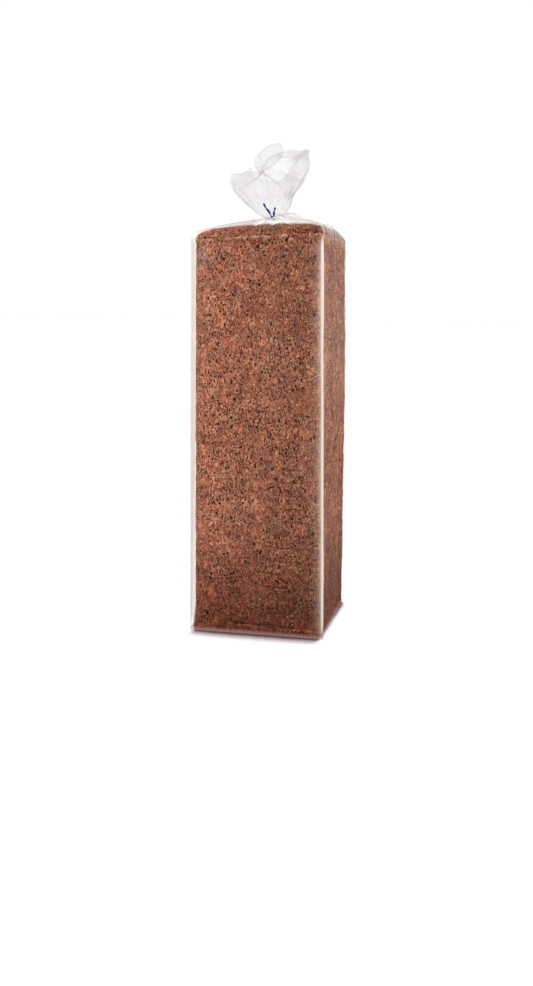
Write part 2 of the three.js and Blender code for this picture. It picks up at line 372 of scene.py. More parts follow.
def foot_rows(xy, radius, z, shares, bends, place, slack=0.0):
    """Rows over the underside, at shares of the way out from its middle, and round the foot."""
    inner = drawn_in(xy, radius)
    rows = [place(*(inner * share).T, z) for share in shares]
    for i in range(1, bends + 1):
        a = math.pi / 2 * i / bends
        section = drawn_in(xy, radius * (1 - math.sin(a))) + slack
        rows.append(place(*section.T, z + radius * (1 - math.cos(a))))
    return rows


def shoulder_rows(xy, reach, gap, bends, place):
    """Rows that bend over from the upright sides to the top end, gap millimetres under the dome."""
    side, face = reach
    half = (xy.max(axis=0) - xy.min(axis=0)) / 2
    deep = face + (side - face) * rise(np.abs(xy[:, 0]) / half[0], 0.72, 1)
    steps = SHOULDER_TURN * np.arange(bends + 1) / bends
    sections = []
    for a in steps:
        over = 1 - math.cos(a)
        sections.append(drawn_in(xy, np.array(reach) * over, roundness=0.85 * over))
    crown = top_z(*sections[-1].T) - gap
    rows = []
    for a, section in zip(steps, sections):
        below = deep * (1 - math.sin(a) / math.sin(SHOULDER_TURN))
        rows.append(place(*section.T, crown - below))
    return rows


def ring_faces(rows, columns):
    """Quads between rows of closed rings."""
    low = np.arange((rows - 1) * columns).reshape(rows - 1, columns)
    right = np.roll(low, -1, axis=1)
    return np.stack([low, right, right + columns, low + columns], axis=2).reshape(-1, 4)


def surface_normals(points, rows, columns):
    """Which way each place of a surface made of closed rings faces."""
    grid = points.reshape(rows, columns, 3)
    along = np.roll(grid, -1, axis=1) - np.roll(grid, 1, axis=1)
    up = np.gradient(grid, axis=0)
    normal = np.cross(along, up)
    length = np.linalg.norm(normal, axis=2, keepdims=True)
    return (normal / np.maximum(length, 1e-9)).reshape(-1, 3)


def add_object(name, data):
    """A new object in the scene."""
    made = bpy.data.objects.new(name, data)
    bpy.context.scene.collection.objects.link(made)
    return made


def make_piece(name, points, faces, material, slot, looks, stands_for="bagged_loaf"):
    """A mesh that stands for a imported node. Its looks are values that its material reads."""
    mesh = bpy.data.meshes.new(name)
    mesh.from_pydata((points * MM).tolist(), [], [tuple(face) for face in faces])
    mesh.polygons.foreach_set("use_smooth", [slot != "tie"] * len(mesh.polygons))
    for key, values in looks.items():
        layer = mesh.attributes.new(key, "FLOAT", "POINT")
        layer.data.foreach_set("value", np.asarray(values, dtype=np.float32))
    mesh.materials.append(material)
    mesh.update()
    piece = add_object(name, mesh)
    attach(piece, "root")
    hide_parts(stands_for)
    return piece


# ---- materials


class Nodes:
    """The node tree of a material or a world, with short calls for the nodes used often."""

    def __init__(self, owner):
        owner.use_nodes = True
        self.owner = owner
        self.tree = owner.node_tree
        self.tree.nodes.clear()

    def feed(self, socket, value):
        """Links a socket into this one, or sets it to a number or a colour."""
        if isinstance(value, bpy.types.NodeSocket):
            self.tree.links.new(value, socket)
        elif isinstance(value, tuple) and len(value) == 3 and socket.type == "RGBA":
            socket.default_value = (*value, 1)
        else:
            socket.default_value = value

    def node(self, kind, inputs=None, **settings):
        """A node with its settings made, and its inputs fed by name or number."""
        node = self.tree.nodes.new(kind)
        for key, value in settings.items():
            setattr(node, key, value)
        for key, value in (inputs or {}).items():
            self.feed(node.inputs[key], value)
        return node

    def attribute(self, name):
        return self.node("ShaderNodeAttribute", attribute_name=name).outputs["Fac"]

    def math(self, operation, *values, kind="ShaderNodeMath"):
        return self.node(kind, dict(enumerate(values)), operation=operation).outputs[0]

    def scaled(self, value, by):
        """How far a noise lies from its mean, times an amount."""
        return self.math("MULTIPLY", self.math("SUBTRACT", value, 0.5), by)

    def mix(self, fac, a, b, blend="MIX"):
        inputs = {0: fac, 6: a, 7: b}
        return self.node("ShaderNodeMix", inputs, data_type="RGBA", blend_type=blend).outputs[2]

    def tinted(self, colour, tint, fac=1):
        return self.mix(fac, colour, tint, "MULTIPLY")

    def ramp(self, fac, *stops):
        """Colours, or greys given as numbers, at places along a value."""
        node = self.node("ShaderNodeValToRGB", {0: fac})
        elements = node.color_ramp.elements
        while len(elements) < len(stops):
            elements.new(0.5)
        for element, (place, colour) in zip(elements, stops):
            rgb = colour if isinstance(colour, tuple) else (colour, colour, colour)
            element.position = place
            element.color = (*rgb, 1)
        return node.outputs[0]

    def place(self, scale=(1, 1, 1)):
        """A place of the object in metres, scaled along its axes."""
        place = self.node("ShaderNodeTexCoord").outputs["Object"]
        return self.node("ShaderNodeMapping", {"Scale": scale, "Vector": place}).outputs[0]

    def noise(self, place, size_mm, detail=2.0, roughness=0.5, output="Fac"):
        inputs = {"Vector": place, "Scale": 1000 / size_mm, "Detail": detail, "Roughness": roughness}
        return self.node("ShaderNodeTexNoise", inputs).outputs[output]

    def warped(self, place, size_mm, reach_mm):
        """The place moved about by a noise of the given size, up to half the reach."""
        kind = "ShaderNodeVectorMath"
        colour = self.noise(place, size_mm, output="Color")
        centred = self.math("SUBTRACT", colour, (0.5, 0.5, 0.5), kind=kind)
        return self.math("MULTIPLY_ADD", centred, (reach_mm * MM,) * 3, place, kind=kind)

    def specks(self, place, size_mm, radius, share):
        """Round dots, in the given share of cells of the given size."""
        inputs = {"Vector": place, "Scale": 1000 / size_mm}
        cells = self.node("ShaderNodeTexVoronoi", inputs)
        dot = self.ramp(cells.outputs["Distance"], (radius * 0.6, 1.0), (radius, 0.0))
        pick = self.node("ShaderNodeSeparateColor", {0: cells.outputs["Color"]}).outputs[0]
        return self.math("MULTIPLY", dot, self.math("LESS_THAN", pick, share))

    def principled(self, colour, roughness, specular=0.5):
        inputs = {"Base Color": colour, "Roughness": roughness, "Specular IOR Level": specular}
        return self.node("ShaderNodeBsdfPrincipled", inputs)

    def blend(self, fac, a, b):
        """Two shaders mixed."""
        return self.node("ShaderNodeMixShader", {0: fac, 1: a.outputs[0], 2: b.outputs[0]})

    def finish(self, shader, output="ShaderNodeOutputMaterial"):
        """Makes a shader the tree's output, and gives back what the tree belongs to."""
        self.node(output, {0: shader.outputs[0]})
        return self.owner


def crust_height(nodes, tall, fine):
    """The crust's finest relief, round about 0.5: grain, lumps, and pores with raised edges."""
    calm = nodes.ramp(nodes.noise(nodes.place(), 10), (0.38, 0.5), (0.6, 1.5))
    rough = nodes.scaled(fine, calm)
    soft = nodes.scaled(nodes.noise(tall, 3.6, roughness=0.6), 0.34)
    height = nodes.math("ADD", nodes.math("ADD", rough, soft), 0.52)
    clusters = nodes.ramp(nodes.noise(nodes.place(), 13), (0.4, 0.35), (0.62, 1.8))
    bent = nodes.warped(tall, 2.1, reach_mm=3.4)
    for size, radius, share, depth in ((4.6, 0.29, 0.85, 0.36), (2.5, 0.37, 0.7, 0.3)):
        pores = nodes.math("MULTIPLY", nodes.specks(bent, size, radius, share), clusters)
        edges = nodes.specks(bent, size, radius * 1.7, share)
        height = nodes.math("SUBTRACT", height, nodes.math("MULTIPLY", pores, depth * 1.25))
        height = nodes.math("ADD", height, nodes.math("MULTIPLY", edges, depth * 0.25))
    return height


def crust_colour(nodes, tall, height):
    """Red-brown, with broad blotches, darker patches, and a hue that shifts between them."""
    place = nodes.place()
    broad = nodes.noise(place, 26, detail=2.5)
    blotch = nodes.ramp(broad, (0.33, (0.86, 0.79, 0.81)), (0.65, (1.09, 1.09, 1.05)))
    patch = nodes.ramp(nodes.noise(place, 8), (0.4, (0.92, 0.87, 0.89)), (0.54, WHITE))
    shift = nodes.noise(tall, 2.6, detail=3, roughness=0.7)
    cool, warm = (0.97, 0.93, 1.12), (1.04, 0.99, 0.84)
    hue = nodes.ramp(shift, (0.4, cool), (0.5, WHITE), (0.6, warm))
    # Painted shade in the pores and painted highlight on the raised edges, following the relief's
    # height.
    colour = nodes.ramp(height, *CRUST_WITH_RELIEF_SHADE)
    for tint in (blotch, patch, hue):
        colour = nodes.tinted(colour, tint)
    return colour


def crust_marks(nodes, colour, fine):
    """Over the crust's colour, what bread_surface marks: painted shade in the pits, painted highlight
    on their rims, painted shade by height, painted light on the left side, and crumbs.
    """
    # The "height" attribute is painted shade by height: darker at the foot and towards the top.
    height_shade = nodes.attribute("height")
    # Painted highlight on the pits' rims.
    colour = nodes.mix(nodes.attribute("rim"), colour, PIT_RIM_HIGHLIGHT)
    # Painted shade in the pits and the torn corner's crack, and the cuts' dark seams.
    colour = nodes.mix(nodes.attribute("pit"), colour, PIT_SHADE)
    colour = nodes.tinted(colour, nodes.ramp(height_shade, (0, (0.4, 0.24, 0.2)), (1, WHITE)))
    # Painted light: the crust is lighter towards the left, where the left light falls on it.
    colour = nodes.tinted(colour, (1.4, 1.38, 1.42), nodes.attribute("dry"))
    loose = nodes.ramp(fine, (0.4, 0.2), (0.55, 1))
    crumb = nodes.math("MULTIPLY", nodes.attribute("crumb"), loose)
    # The crumbs take the same painted shade by height.
    return nodes.mix(crumb, colour, nodes.ramp(height_shade, (0, CRUMB_LOW), (1, CRUMB_HIGH)))


def bread_material():
    """Dark crust: red-brown and blotched, with painted shade in its pits and painted highlight on
    their rims, and paler crumbs and grains.
    """
    nodes = Nodes(bpy.data.materials.new("dark_crust"))
    place = nodes.place()
    tall = nodes.place((1.4, 1, 0.75))
    fine = nodes.noise(tall, 0.9, detail=3, roughness=0.8)
    height = crust_height(nodes, tall, fine)
    colour = crust_marks(nodes, crust_colour(nodes, tall, height), fine)
    colour = nodes.mix(nodes.specks(place, 4, radius=0.17, share=0.12), colour, GRAIN_PALE)
    colour = nodes.mix(nodes.specks(place, 5, radius=0.17, share=0.12), colour, GRAIN_ORANGE)
    shader = nodes.principled(colour, roughness=0.65, specular=0.15)
    relief = {"Strength": 1.0, "Distance": 2.2 * MM, "Height": height}
    bump = nodes.node("ShaderNodeBump", relief)
    nodes.feed(shader.inputs["Normal"], bump.outputs[0])
    return nodes.finish(shader)


def film_material():
    """Clear film: it mirrors more at a slant, and is milky where it is creased or stretched; painted
    highlights and the bread's painted glow also go into the milk.
    """
    nodes = Nodes(bpy.data.materials.new("clear_film"))
    let_through = nodes.mix(nodes.attribute("layers"), FILM_SINGLE, FILM_DOUBLED)
    clear = nodes.node("ShaderNodeBsdfTransparent", {"Color": let_through})
    mirror = nodes.node("ShaderNodeBsdfGlossy", {"Roughness": 0.14})
    facing = nodes.node("ShaderNodeLayerWeight", {"Blend": 0.5})
    slant = nodes.math("POWER", facing.outputs["Facing"], 5.0)
    shine = nodes.math("ADD", nodes.math("MULTIPLY", slant, 0.22), 0.012)
    # Painted glow of the bread's light in the milk.
    colour = nodes.mix(nodes.attribute("warm"), MILK_GREY, MILK_BREAD_GLOW)
    # Painted pink glow of the bread's light in the milk at the foot.
    colour = nodes.mix(nodes.attribute("foot_glow"), colour, MILK_FOOT_GLOW)
    milky = nodes.principled(colour, roughness=0.45)
    unmarked = nodes.blend(shine, clear, mirror)
    return nodes.finish(nodes.blend(nodes.attribute("milk"), unmarked, milky))


def tie_material():
    """Blue plastic over a wire: navy, brighter in places, with a painted pale highlight on the short
    loose end.
    """
    nodes = Nodes(bpy.data.materials.new("blue_tie"))
    colour = nodes.ramp(nodes.noise(nodes.place(), 2.6), (0.5, TIE_NAVY), (0.64, TIE_BLUE))
    # Painted pale highlight on the short loose end.
    colour = nodes.mix(nodes.attribute("end_highlight"), colour, TIE_HIGHLIGHT_BLUE)
    return nodes.finish(nodes.principled(colour, roughness=0.5, specular=0.15))


# ---- the bread


def cut_height(level):
    """Height of a cut at the middle of the loaf; cut 0 is the lower heel's."""
    return HEEL_LOW_Z + CUT_SPAN * level / SLICES


def cut_slope(z):
    """How steeply a cut at this height rises to the right."""
    return CUT_FAN * (z - CUT_MIDDLE_Z) / (HEEL_HIGH_Z - CUT_MIDDLE_Z)


def loaf_outline():
    """The loaf's section, whose faces ease back towards the two front corners."""
    box = (LOAF_LEFT, LOAF_RIGHT, LOAF_FRONT, LOAF_BACK)
    xy, out, away = rounded_box(*box, LOAF_CORNER_R, LOAF_STEP)
    ease = LOAF_EASE * np.exp(-away / LOAF_EASE_REACH) * rise(-xy[:, 1], -10, 20)
    return xy - out * ease[:, None]


def low_heel_rows(xy):
    """From the middle of the underside round the foot to the lowest cut."""
    shares = np.arange(1, FOOT_RINGS + 1) / FOOT_RINGS
    rows = foot_rows(xy, LOAF_FOOT_R, LOAF_FOOT_Z, shares, bends=7, place=loaf_place)
    x, y = xy.T
    foot = rows[-1][:, 2]
    cut = HEEL_LOW_Z + cut_slope(HEEL_LOW_Z) * x
    rows.extend(loaf_place(x, y, foot + (cut - foot) * t) for t in np.linspace(0.2, 1, 5))
    return rows


def side_row(xy, z):
    """One row of the loaf's side. The cuts fan out to the right, and the rows with them."""
    x, y = xy.T
    return loaf_place(x, y, z + cut_slope(z) * x)


def slice_rows(xy, first, last):
    """Rows from one cut to another, close together at each cut between."""
    rows = []
    for i in range(first, last):
        low, high = cut_height(i), cut_height(i + 1)
        rows.append(side_row(xy, low))
        between = np.linspace(low + CUT_GAP, high - CUT_GAP, SLICE_ROWS - 1)
        rows.extend(side_row(xy, z) for z in between)
    rows.append(side_row(xy, cut_height(last)))
    return rows


def high_heel_rows(xy):
    """From the high heel's cut over the rounded shoulder to the middle of the top."""
    x, y = xy.T
    cut = HEEL_HIGH_Z + cut_slope(HEEL_HIGH_Z) * x
    bend = shoulder_rows(xy, LOAF_SHOULDER, LOAF_GAP, bends=18, place=loaf_place)
    base = np.maximum(bend[0][:, 2], cut)
    rows = [loaf_place(x, y, cut + (base - cut) * t) for t in np.linspace(0, 1, 10)]
    for row in bend[1:]:
        row[:, 2] = np.maximum(row[:, 2], base)
        rows.append(row)
    edge = rows[-1]
    rings = 60
    for i in range(1, rings):
        share = 1 - i / rings
        x, y = edge[:, 0] * share, edge[:, 1] * share
        z = top_z(x, y) - LOAF_GAP - 1.6 * rise(1 - share, 0, 0.5)
        rows.append(np.column_stack([x, y, z]))
    return rows


def pits(points, size, share, largest, seed):
    """Irregular holes in the crust: how deep each place is sunk, and the rims round them, which are
    painted pale as a highlight.

    There is one to a cell of the given size, in the given share of cells. The largest radius is
    in cells.
    """
    warp = np.column_stack([grain(points, size * 0.7, seed + k) for k in range(3)])
    squeezed = (points + 0.24 * size * warp) * (1, 1, 0.66) / size
    away, pick = nearest_seed(squeezed, seed)
    radius = largest * np.clip((pick - 1 + share) / share, 0, 1) ** 0.6
    reach = away / np.maximum(radius, 1e-3)
    depth = size * radius * np.clip(1 - reach**2, 0, 1) ** 0.7
    rim = bell(reach - 1.35, 0.35) * rise(radius, 0.08, 0.2)
    return depth, rim


def lumps(points):
    """The crust's unevenness, from broad waves to small knobs that are taller than wide."""
    tall = points * (1, 1, 0.7)
    broad = 0.35 * grain(points, 34, 1) + 0.22 * grain(points, 9, 2)
    return broad + 0.26 * grain(tall, 3.4, 3) + 0.22 * grain(tall, 1.8, 4)


def nearest_cut(points):
    """Each place's nearest cut and how far above it the place is, and the slice it belongs to."""
    fan = CUT_FAN / (HEEL_HIGH_Z - CUT_MIDDLE_Z) * points[:, 0]
    middle_z = (points[:, 2] + fan * CUT_MIDDLE_Z) / (1 + fan)
    level = (middle_z - HEEL_LOW_Z) / CUT_SPAN * SLICES
    nearest = np.clip(np.round(level), 0, SLICES)
    above = (level - nearest) * CUT_SPAN / SLICES
    slot = np.clip(np.floor(level), -1, SLICES).astype(int) + 1
    return nearest, above, slot


def cut_marks(points, nearest, above):
    """Grooves and torn crumbs: slices' cuts show here and there, the heels' nearly all round."""
    low = nearest == 0
    heel = low | (nearest == SLICES)
    ragged = above + 0.25 * grain(points, 6, 9) + 0.15 * grain(points, 1.5, 16)
    hairlines = np.clip(1.7 * grain(points * (1, 1, 0.2), 24, 5) - 0.4, 0, 1)
    dashes = np.clip(0.3 + 1.1 * grain(points, 6, 10), 0, 1)
    groove = np.where(heel, 0.9 * dashes, 0.6 * hairlines) * bell(ragged, 0.4)
    torn = np.clip(0.3 + 1.5 * grain(points, 3.1, 6) + 1.8 * grain(points, 1.3, 17), 0, 1)
    strength = np.select([low, heel], [0.8, 1.5], 0.1)
    crumb = strength * bell(ragged + np.where(heel, 1.3, 0), 1.3) * torn
    return groove, crumb


def painted_shade_by_height(z):
    """Painted shade by height: the crust is darkest at the foot, where less light reaches near the
    floor, and darker again towards the top, against the overhead light.
    """
    foot = rise(z, -12, 115)
    upper = 1 - 0.15 * rise(z, 230, 330)
    heel = 1 - 0.36 * rise(z, 339, 345)
    return foot * upper * heel


def torn_corner(points):
    """The dark, torn place at the front's top right corner."""
    x, y, z = points.T
    near = bell(x - 51.5, 5.5) * bell(z - 345, 5) * rise(-y, 40, 54)
    off_crack = 0.64 * (x - 52.5) + 0.77 * (z - 345.5) + 1.5 * grain(points, 3.2, 14)
    return near * np.clip(0.3 + bell(off_crack, 1.2), 0, 1)


def crumbs_and_edge_light(points):
    """Orange crumbs along the foot, and along the two front corners, where they also brighten the
    edges as painted light, more on the left.
    """
    x, y, z = points.T
    corner = np.minimum(x - LOAF_LEFT, LOAF_RIGHT - x)
    side = np.exp(-corner / 3.2) * rise(-y, LOAF_BACK / 2, -LOAF_FRONT - 2.5)
    side *= 1 - rise(z, 332, 340)
    foot = 1 - rise(z, HEEL_LOW_Z - 4, HEEL_LOW_Z + 1)
    loose = np.clip(0.75 + 0.6 * grain(points, 3, 12), 0, 1)
    dots = np.clip(0.2 + 1.4 * grain(points, 1.7, 18), 0, 1)
    return (0.65 + 0.2 * (x < 0)) * side * loose + 0.35 * foot * dots


def bread_surface(points, rows, columns):
    """The crust's relief over the smooth loaf, and how dark or pale each place is."""
    normals = surface_normals(points, rows, columns)
    on_side = rise(-np.abs(normals[:, 2]), -0.75, -0.3)
    large, large_rim_highlight = pits(points, size=5.8, share=0.7, largest=0.25, seed=31)
    small, small_rim_highlight = pits(points, size=3.1, share=0.6, largest=0.34, seed=41)
    nearest, above, slot = nearest_cut(points)
    groove, crumb = cut_marks(points, nearest, above)
    groove *= on_side
    crumb *= on_side
    crack = torn_corner(points)
    sunk = 0.95 * large + 0.95 * small + groove - lumps(points) - 0.5 * crumb + 1.2 * crack
    shift = np.random.default_rng(7).normal(0, SLICE_SHIFT, (SLICES + 2, 2))
    moved = points - normals * sunk[:, None]
    moved[:, :2] += shift[slot] * on_side[:, None]
    moved[:, 2] = np.maximum(moved[:, 2], 0.3)
    rim = np.clip(0.5 * large_rim_highlight + 0.5 * small_rim_highlight, 0, 1)
    looks = {
        # Painted shade in the pits and the torn corner's crack, and the cuts' dark seams.
        "pit": np.clip(large / 1.3 + small / 0.85 + 0.8 * groove + crack, 0, 0.9),
        # Painted highlight on the pits' rims.
        "rim": rim * np.clip(0.6 + grain(points, 5.0, 8), 0, 1),
        # Crumbs, and painted light along the two front corners.
        "crumb": np.maximum(crumb, crumbs_and_edge_light(points)),
        # Painted shade by height: darker at the foot and towards the top.
        "height": painted_shade_by_height(points[:, 2]),
        # Painted light, growing towards the left side.
        "dry": rise(-points[:, 0], -38.0, 60.0),
    }
    return moved, looks


def bread_piece(name, rows, material):
    """One closed mesh of bread, with a cap of triangles at each end."""
    columns = len(rows[0])
    moved, looks = bread_surface(np.concatenate(rows), len(rows), columns)
    ends = np.stack([moved[:columns].mean(axis=0), moved[-columns:].mean(axis=0)])
    count = len(moved)
    here = np.arange(columns)
    beside = np.roll(here, -1)
    above = here + count - columns
    beyond = beside + count - columns
    low_cap = np.column_stack([np.full(columns, count), beside, here])
    high_cap = np.column_stack([np.full(columns, count + 1), above, beyond])
    faces = [*ring_faces(len(rows), columns), *low_cap, *high_cap]
    looks = {key: np.append(values, [0, 0]) for key, values in looks.items()}
    make_piece(name, np.vstack([moved, ends]), faces, material, "crust", looks)


def bread():
    """The loaf: its two heels, and the slices between them in four meshes."""
    material = bread_material()
    xy = loaf_outline()
    bread_piece("heel_low", low_heel_rows(xy), material)
    for i, (low, high) in enumerate(zip(PIECE_CUTS[:-1], PIECE_CUTS[1:])):
        bread_piece(f"slices_{i + 1}", slice_rows(xy, low, high), material)
    bread_piece("heel_high", high_heel_rows(xy), material)


# ---- the film


def turned(places):
    """From the flare's own directions, right, away and up, to the frame's."""
    u, v, z = np.moveaxis(np.asarray(places, dtype=float), -1, 0)
    c, s = math.cos(VIEW_TURN), math.sin(VIEW_TURN)
    return np.stack([u * c - v * s, u * s + v * c, z], axis=-1)


def crumple(points, seed, waves, shortest, longest, slope):
    """Flat facets between sharp creases.

    Gives the height, how near a crease each place is, and which way its facet leans.
    """
    draw = np.random.default_rng(seed)
    height = np.zeros(len(points))
    crease = np.zeros(len(points))
    lean = np.zeros((len(points), 3))
    for _ in range(waves):
        way = direction_of(draw.normal(size=3))
        length = draw.uniform(shortest, longest)
        phase = (points @ way / length + draw.random()) % 1
        wave = np.abs(phase - 0.5) * 2
        height += slope * length * (wave - 0.5)
        crease = np.maximum(crease, bell((1 - wave) * length, 0.9) * draw.uniform(0.2, 1))
        lean += np.sign(phase - 0.5)[:, None] * way / 3
    return height, crease, lean


class FilmSection:
    """The film's section: it lies on the loaf's faces and stands off at the corners as fins."""

    def __init__(self):
        box = (FILM_LEFT, FILM_RIGHT, FILM_FRONT, FILM_BACK)
        xy, out, away = rounded_box(*box, FILM_CORNER_R, FILM_STEP)
        back = 0.5 + xy[:, 1] / (2 * HALF)
        on_left, self.on_right, on_back = out[:, 0] < -0.9, out[:, 0] > 0.9, out[:, 1] > 0.9
        left_gap = LOAF_LEFT - FILM_LEFT - 0.9
        back_gap = FILM_BACK - LOAF_BACK - 0.5
        gaps = [left_gap, 2.2 * (1 - back), back_gap]
        gap = np.select([on_left, self.on_right, on_back], gaps, 0.3)
        drawn = out * (gap * rise(away, 0.5, 9))[:, None]
        self.xy = xy - drawn
        self.away = away  # how far along it the nearest corner is
        self.slack = drawn * on_left[:, None]  # what the left side is drawn in by
        self.left = np.where(self.xy[:, 0] < 0, 1, 0)
        self.front = np.where(self.xy[:, 1] < 0, 1, 0)
        self.on_front = out[:, 1] < -0.9
        # Upright folds over the shoulder on the right, and breaks in the pale hem at the foot.
        flat = np.column_stack([self.xy, np.zeros(len(xy))])
        self.tucked = np.clip(out[:, 0], 0, 1) * rise(self.xy[:, 1], -60, -50)
        self.tucks = 0.5 + 0.5 * grain(flat, 5, 33)
        self.breaks = np.clip(0.75 + 0.9 * grain(flat, 7, 34), 0.15, 1)


def film_foot(section):
    """Rows over the underside and up round the foot, each with how milky it is."""
    shares = np.linspace(0.04, 1, FOOT_RINGS)
    xy, slack = section.xy, section.slack
    rows = foot_rows(xy, FILM_FOOT_R, 0, shares, bends=4, place=film_place, slack=slack)
    return [(row, 0.1 if i < FOOT_RINGS else 0.5) for i, row in enumerate(rows)]


def fin_haze_and_highlight(section, z):
    """How milky the fins at the corners are, and the faces beside them, in one row. At the front
    corners the milk is largely a painted highlight, the corners' reflection of the lights.
    """
    left, front, away = section.left, section.front, section.away
    width = 0.4 + 3.4 * left
    haze = 0.1 + 0.3 * left + (0.76 - 0.34 * left) * front
    haze = haze * (1 - rise(away, width - 0.5, width + 0.5))
    haze += 0.1 * np.exp(-away / 4) * np.maximum(left, front)
    haze += 0.13 * np.where(section.on_right, np.exp(-(section.xy[:, 1] - FILM_FRONT) / 9), 0)
    # They end above the foot and below the shoulder, and the lower half differs by side.
    ends = (1 - 0.95 * bell(z, 11)) * (1 - rise(z, 330, 344))
    return haze * ends * (1 + (0.2 - 0.55 * left) * (1 - rise(z, 20, 160)))


def side_haze(section, z, edge_z):
    """How milky each place of a row of the sides is: film haze and folds, with painted highlights
    along the front corners and painted light in the hem.
    """
    x = section.xy[:, 0]
    veil = 0.07 * section.on_right * rise(z, 130, 250)
    # Painted highlight along the front right corner.
    corner = np.where(section.on_front & (x > 0), np.exp(-section.away / 2.6), 0)
    by_height = np.clip(0.5 + 1.6 * grain(np.array([[0, 0, z.mean()]]), 60, 26), 0.1, 1)
    corner_highlight = 0.4 * by_height * corner * (1 - rise(z, 325, 340))
    folds = 0.3 * section.tucked * section.tucks * rise(z, edge_z - 12, edge_z)
    hem_z = 0.7 + 1.9 * rise(x, 0, 50)
    # The hem under the foot grows milkier, and so paler, towards the left as painted light.
    hem = (0.66 - 0.24 * x / HALF) * (1 - rise(z, hem_z, hem_z + 1.2)) * section.breaks
    return fin_haze_and_highlight(section, z) + veil + corner_highlight + folds + hem


def film_sides(section, edge_z):
    """Rows up the sides to the shoulder. At the foot the left side isn't drawn in."""
    rows = []
    for i in range(1, FILM_LEVELS + 1):
        z = FILM_FOOT_R + (edge_z - FILM_FOOT_R) * i / FILM_LEVELS
        x, y = (section.xy + section.slack * bell(z, FOOT_REACH).mean()).T
        rows.append((film_place(x, y, z), side_haze(section, z, edge_z)))
    return rows


def film_shoulder(section, bend):
    """Rows over the shoulder, milky in folds on the right."""
    rows = []
    for i, row in enumerate(bend[1:]):
        t = i / FILM_BENDS
        folds = section.tucked * (0.15 + 0.5 * section.tucks)
        folds = folds * (0.7 + 0.3 * rise(t, 0, 0.6))
        rows.append((row, 0.27 * rise(t, 0.3, 1) + folds))
    return rows


def puff(x, y):
    """The film stands up off the loaf on the tie's right."""
    px, py, _ = turned((17, -3, 0))
    away = np.hypot(x - px, y - py) / 17
    return np.where(away < 1, 6.2 * (1 - away**2) ** 2, 0)


def film_top(edge, direction):
    """Rows from the shoulder in to the neck, in pleats that rise to a collar round it."""
    wander = 0.35 * np.sin(3 * direction) + 0.2 * np.sin(7 * direction)
    fold = np.abs((direction * TOP_PLEATS / (2 * math.pi) + wander) % 1 - 0.5) * 2
    rows = []
    for i in range(1, FILM_RINGS + 1):
        t = i / FILM_RINGS
        reach = 1 + (4.2 / HALF - 1) * t
        x = ((1 - t**3) * edge[:, 0] + t**3 * HALF * np.cos(direction)) * reach
        y = ((1 - t**3) * edge[:, 1] + t**3 * HALF * np.sin(direction)) * reach
        deep = (1.3 + rise(x, -35, 5)) * rise(t, 0.2, 0.85) * (1 - 0.5 * t)
        collar = (2.6 + 1.4 * fold) * bell(np.hypot(x, y) - 7, 2.6)
        z = top_z(x, y) + (fold - 0.5) * deep + puff(x, y) * (1 - t**16) + collar
        neck = rise(t, 0.955, 1)
        z = z * (1 - neck) + (NECK_Z - NECK_HALF) * neck
        haze = 0.27 + 0.06 * t + 0.25 * bell(fold - 1, 0.15) * t + 0.07 * np.minimum(collar, 3)
        rows.append((np.column_stack([x, y, z]), haze))
    return rows


def film_neck(direction):
    """Rows up the gathered neck, under the tie."""
    r = NECK_R + 0.3 * np.cos(18 * direction)
    x, y = r * np.cos(direction), r * np.sin(direction)
    heights = (NECK_Z - 0.7, NECK_Z, NECK_Z + 0.7, NECK_Z + NECK_HALF)
    return [(np.column_stack([x, y, np.full(len(x), z)]), 0.4) for z in heights]


def side_lines(points):
    """Fine creases in the film's sides, and a broken upright line on the right."""
    heights = points * (0, 0, 1)
    tall = points * (1, 1, 0.3)
    creases = crumple(tall, seed=15, waves=9, shortest=20, longest=60, slope=0)[1]
    shown = np.clip(1.5 * grain(points * (1, 1, 0.4), 20, 22), 0, 1)
    line = bell(points[:, 1] - 21 - 3 * grain(heights, 30, 23), 1) * (points[:, 0] > 50)
    line *= np.clip(1.5 * grain(heights, 26, 24), 0, 1)
    return 0.08 * creases * shown + 0.25 * line


def front_flaps(points):
    """Where folded film hangs over the top's front edge, in ragged points."""
    x, y, z = points.T
    tips = np.abs(x / 15 % 1 - 0.5) * 6 + 0.8 * grain(points, 6, 25)
    flaps = rise(z + tips, 351.6, 352.4) * rise(-y, 35, 45)
    return flaps * (rise(x, -6, 0) * (1 - rise(x, 26, 34)))


def film_surface(points):
    """How far the film stands off its smooth shape, what its creases add to its milkiness, and painted
    shading of its facets by the way each leans.
    """
    x, y, z = points.T
    on_side = rise(z, 4, 12) * (1 - rise(z, 325, 338))
    on_top = (0.2 + 0.8 * rise(x, -20, 5)) * rise(z, 346, 354)
    on_top = on_top * (1 - rise(z, 361.5, 366))
    waves = 0.3 * grain(points, 34, 1) + 0.1 * grain(points * (1, 1, 0.25), 9, 21)
    wrinkles = crumple(points, seed=5, waves=9, shortest=8, longest=26, slope=0.045)
    facets, creases, shading_leans = wrinkles
    relief = waves * on_side + facets * on_top
    # Facets leaning to the right are milkier: painted shading by the way each facet leans.
    milk = (0.2 * creases + 0.1 * shading_leans[:, 0]) * on_top + side_lines(points) * on_side
    upper_left = bell(x + 47, 9) * bell(z - 322, 11) * (y < -50)
    return relief, milk + 0.4 * front_flaps(points) + 0.09 * upper_left


def film_looks(milk, warm=0, foot_glow=0, layers=0):
    """What the film's material reads.

    How milky it is, how much of the bread's light is painted into the milk as a warm glow, where the
    bread's pink light is painted into it at the foot, and how grey its folded layers are.
    """
    looks = {"milk": milk, "warm": warm, "foot_glow": foot_glow, "layers": layers}
    return {key: np.broadcast_to(values, len(milk)) for key, values in looks.items()}


